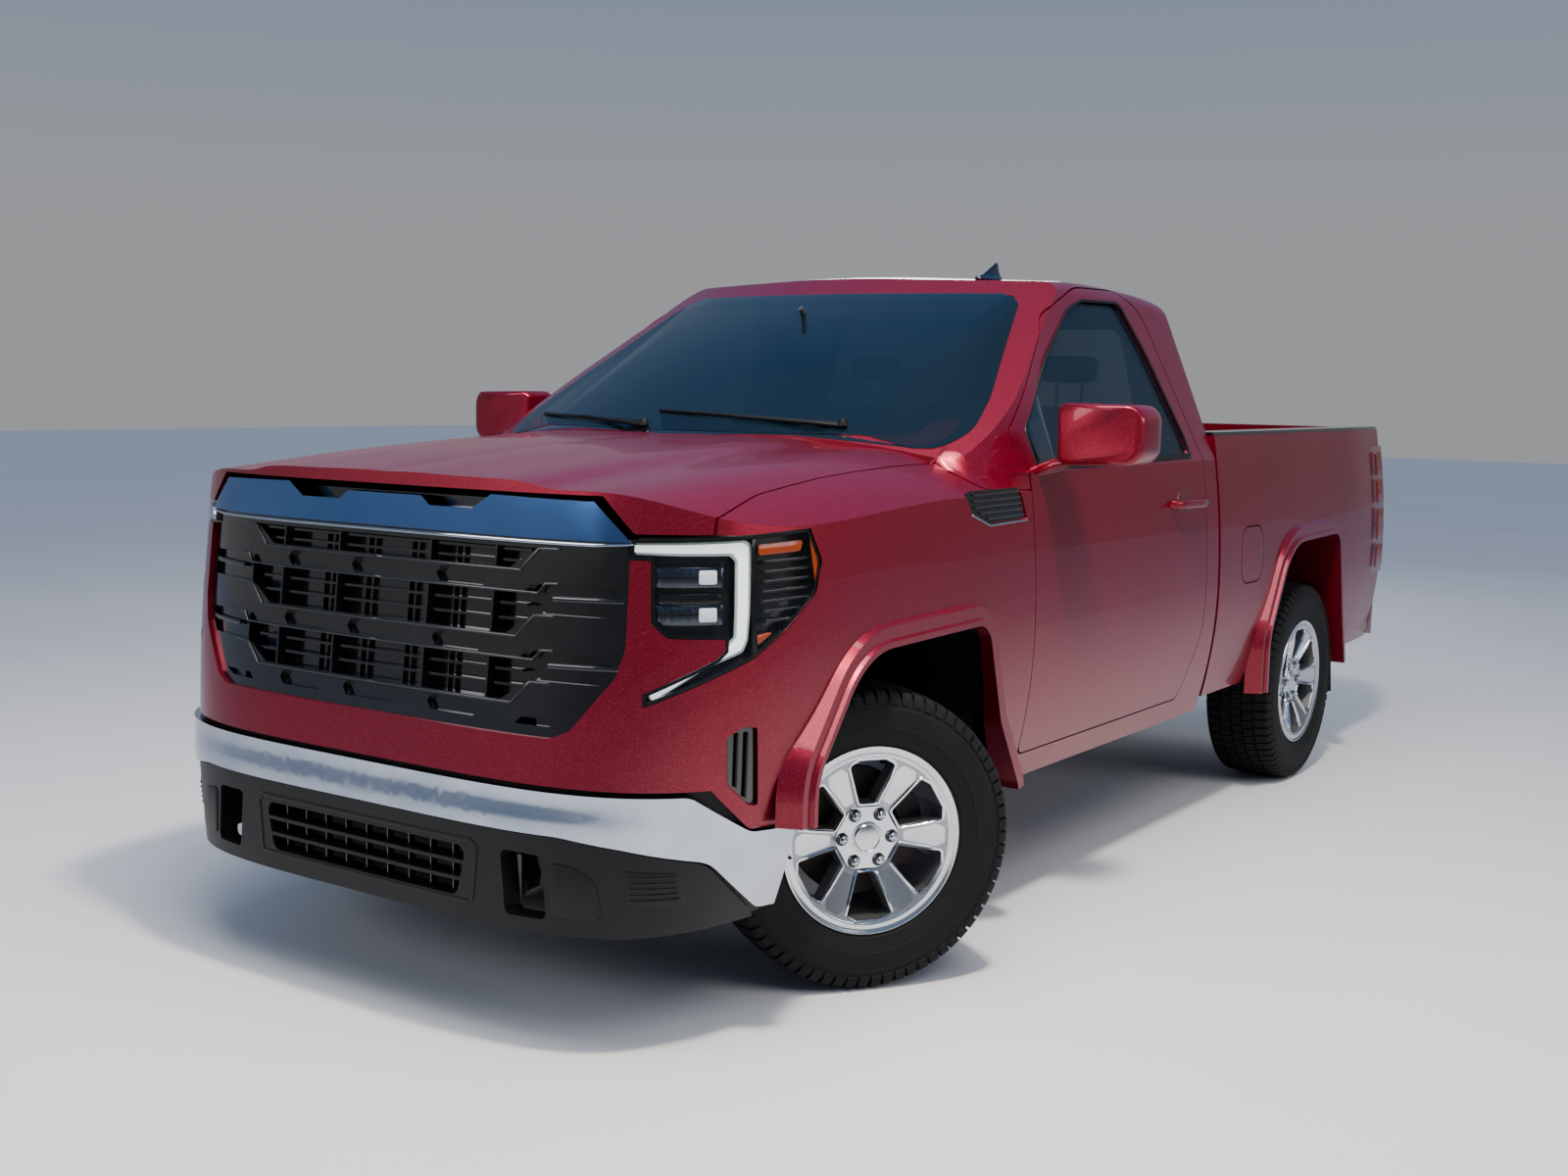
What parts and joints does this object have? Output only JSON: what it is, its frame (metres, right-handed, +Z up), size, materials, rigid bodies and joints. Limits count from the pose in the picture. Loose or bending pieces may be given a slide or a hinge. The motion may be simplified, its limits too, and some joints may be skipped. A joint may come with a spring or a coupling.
{
  "type": "pickup truck",
  "caption": "Full-size pickup truck with a regular cab, an open bed, opening doors, hood and tailgate, steering and rolling wheels.",
  "frame": {"origin": "on the ground, half-way between the nose and the rear bumper, on the middle plane", "axes": "+X to the driver's left side, +Y to the tail, +Z up"},
  "size_m": [2.5612, 5.3813, 1.9489],
  "materials": {
    "red_paint": "deep red clear-coated metallic paint",
    "chrome": "polished chrome plate",
    "black_trim": "grained black plastic",
    "gloss_black": "gloss black plastic",
    "glass": "tinted safety glass",
    "lamp_lens": "clear lens over dark housing",
    "tail_lens": "red lens",
    "tyre": "black tyre rubber",
    "rim": "painted and machined cast aluminium",
    "chassis": "black waxed frame steel",
    "cast_iron": "cast iron",
    "engine": "cast aluminium",
    "exhaust": "dull stainless steel",
    "seat_cloth": "black seat cloth",
    "cabin_plastic": "dark grained plastic"
  },
  "bodies": {
    "root": {"frame": "chassis", "engine": "engine", "driveline": "cast_iron", "rear_axle": "cast_iron", "leaf_springs": "chassis", "front_suspension": "chassis", "exhaust": "exhaust", "fuel_tank": "black_trim", "spare_wheel": "tyre", "cab": "red_paint", "cab_glass": "glass", "fenders": "red_paint", "wheelhouse_liners": "black_trim", "fascia": "red_paint", "grille": "gloss_black", "grille_trim": "chrome", "headlamps": "lamp_lens", "bumper_front": "chrome", "valance": "black_trim", "radiator": "black_trim", "bed": "red_paint", "rail_caps": "black_trim", "taillamps": "tail_lens", "bumper_rear": "chrome", "seat": "seat_cloth", "dashboard": "cabin_plastic"},
    "hood": {"hood": "red_paint"},
    "tailgate": {"tailgate": "red_paint"},
    "fuel_door": {"fuel_door": "red_paint"},
    "steering_wheel": {"steering_wheel": "cabin_plastic"},
    "door_left": {"door_left": "red_paint", "door_glass_left": "glass", "mirror_left": "gloss_black"},
    "steering_left": {"knuckle_left": "cast_iron"},
    "wheel_front_left": {"tyre_front_left": "tyre", "rim_front_left": "rim"},
    "wheel_rear_left": {"tyre_rear_left": "tyre", "rim_rear_left": "rim"},
    "door_right": {"door_right": "red_paint", "door_glass_right": "glass", "mirror_right": "gloss_black"},
    "steering_right": {"knuckle_right": "cast_iron"},
    "wheel_front_right": {"tyre_front_right": "tyre", "rim_front_right": "rim"},
    "wheel_rear_right": {"tyre_rear_right": "tyre", "rim_rear_right": "rim"}
  },
  "joints": [
    {"name": "steer_left", "type": "hinge", "parent": "root", "child": "steering_left", "pos_m": [0.8, -1.6875, 0.401], "axis": [0, 0, 1], "range_deg": [0, 70]},
    {"name": "roll_front_left", "type": "hinge", "parent": "steering_left", "child": "wheel_front_left", "pos_m": [0.85325, -1.72478, 0.401], "axis": [0.8192, -0.5736, 0], "continuous": true},
    {"name": "roll_rear_left", "type": "hinge", "parent": "root", "child": "wheel_rear_left", "pos_m": [0.865, 1.5105, 0.401], "axis": [1, 0, 0], "continuous": true},
    {"name": "open_door_left", "type": "hinge", "parent": "root", "child": "door_left", "pos_m": [1.003, -0.9775, 0.9], "axis": [0, 0, -1], "range_deg": [0, 68]},
    {"name": "steer_right", "type": "hinge", "parent": "root", "child": "steering_right", "pos_m": [-0.8, -1.6875, 0.401], "axis": [0, 0, 1], "range_deg": [0, 70]},
    {"name": "roll_front_right", "type": "hinge", "parent": "steering_right", "child": "wheel_front_right", "pos_m": [-0.85325, -1.65022, 0.401], "axis": [0.8192, -0.5736, 0], "continuous": true},
    {"name": "roll_rear_right", "type": "hinge", "parent": "root", "child": "wheel_rear_right", "pos_m": [-0.865, 1.5105, 0.401], "axis": [1, 0, 0], "continuous": true},
    {"name": "open_door_right", "type": "hinge", "parent": "root", "child": "door_right", "pos_m": [-1.003, -0.9775, 0.9], "axis": [0, 0, 1], "range_deg": [0, 68]},
    {"name": "lift_hood", "type": "hinge", "parent": "root", "child": "hood", "pos_m": [0, -1.2925, 1.405], "axis": [-1, 0, 0], "range_deg": [0, 50]},
    {"name": "drop_tailgate", "type": "hinge", "parent": "root", "child": "tailgate", "pos_m": [0, 2.5925, 0.858], "axis": [-1, 0, 0], "range_deg": [0, 90]},
    {"name": "open_fuel_door", "type": "hinge", "parent": "root", "child": "fuel_door", "pos_m": [1.003, 0.7225, 0.97], "axis": [0, 0, -1], "range_deg": [0, 90]},
    {"name": "turn_steering_wheel", "type": "hinge", "parent": "root", "child": "steering_wheel", "pos_m": [0.4, -0.6675, 1.13], "axis": [0, 0.9135, 0.4067], "range_deg": [0, 1120]}
  ],
  "couplings": [
    {"joint": "steer_right", "follows": "steer_left", "ratio": 1},
    {"joint": "turn_steering_wheel", "follows": "steer_left", "ratio": 16}
  ]
}
